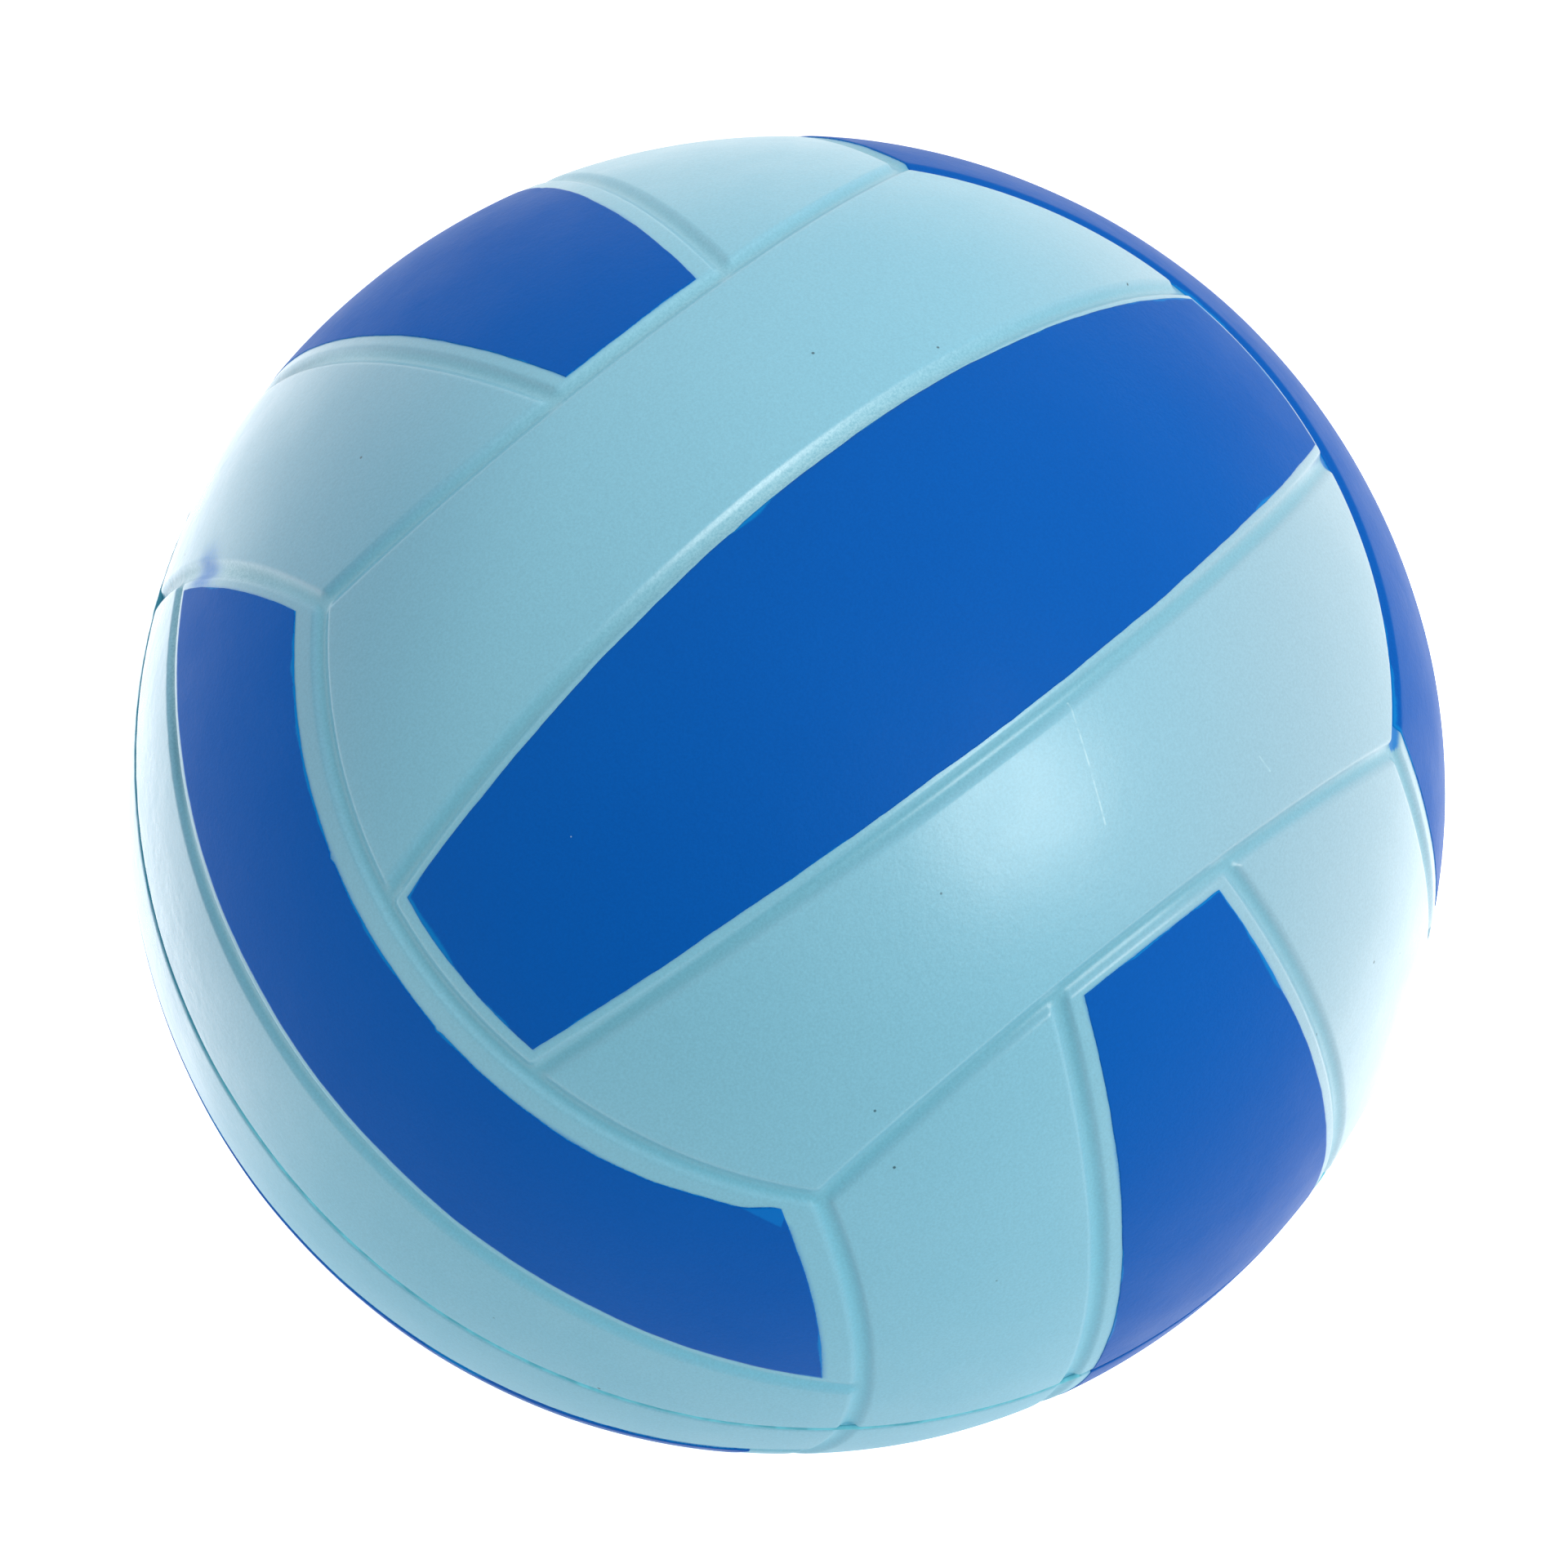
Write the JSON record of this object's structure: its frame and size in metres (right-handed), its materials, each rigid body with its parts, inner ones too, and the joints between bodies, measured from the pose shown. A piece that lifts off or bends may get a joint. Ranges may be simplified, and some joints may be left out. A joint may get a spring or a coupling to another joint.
{
  "type": "stress ball",
  "caption": "Soft foam ball moulded with volleyball-style seams: a light skin in two halves, painted strips and a core that squeezes and springs back.",
  "frame": {"origin": "centre of the ball, in the plane of the parting line", "axes": "+Z along the mould's axis, out of the middle of the front half; +X along the front face's strips, towards the right-hand face; +Y towards the upper face. The parting line lies in z = 0"},
  "size_m": [0.063, 0.063, 0.063],
  "materials": {
    "foam": "soft open-cell polyurethane foam, matte",
    "skin": "sprayed flexible in-mould coat, soft-touch, fine grain",
    "flash": "trimmed foam web stained by the coat, ragged",
    "paint": "masked flexible spray paint, soft-touch, fine grain"
  },
  "bodies": {
    "rear_half": {"foam_core": "foam", "rear_half_skin": "skin", "parting_flash": "flash", "paint_rear": "paint", "paint_left_rear": "paint", "paint_right_rear": "paint", "paint_upper": "paint", "paint_lower": "paint"},
    "front_half": {"front_half_skin": "skin", "paint_front": "paint", "paint_left_front": "paint", "paint_right_front": "paint"}
  },
  "joints": [
    {"name": "squeeze", "type": "slide", "parent": "rear_half", "child": "front_half", "axis": [0, 0, -1], "range_m": [0, 0.025], "stiffness_N_per_m": 2000, "deforming": ["foam_core", "rear_half_skin", "parting_flash", "paint_rear", "paint_left_rear", "paint_right_rear", "paint_upper", "paint_lower", "front_half_skin", "paint_front", "paint_left_front", "paint_right_front"]}
  ]
}
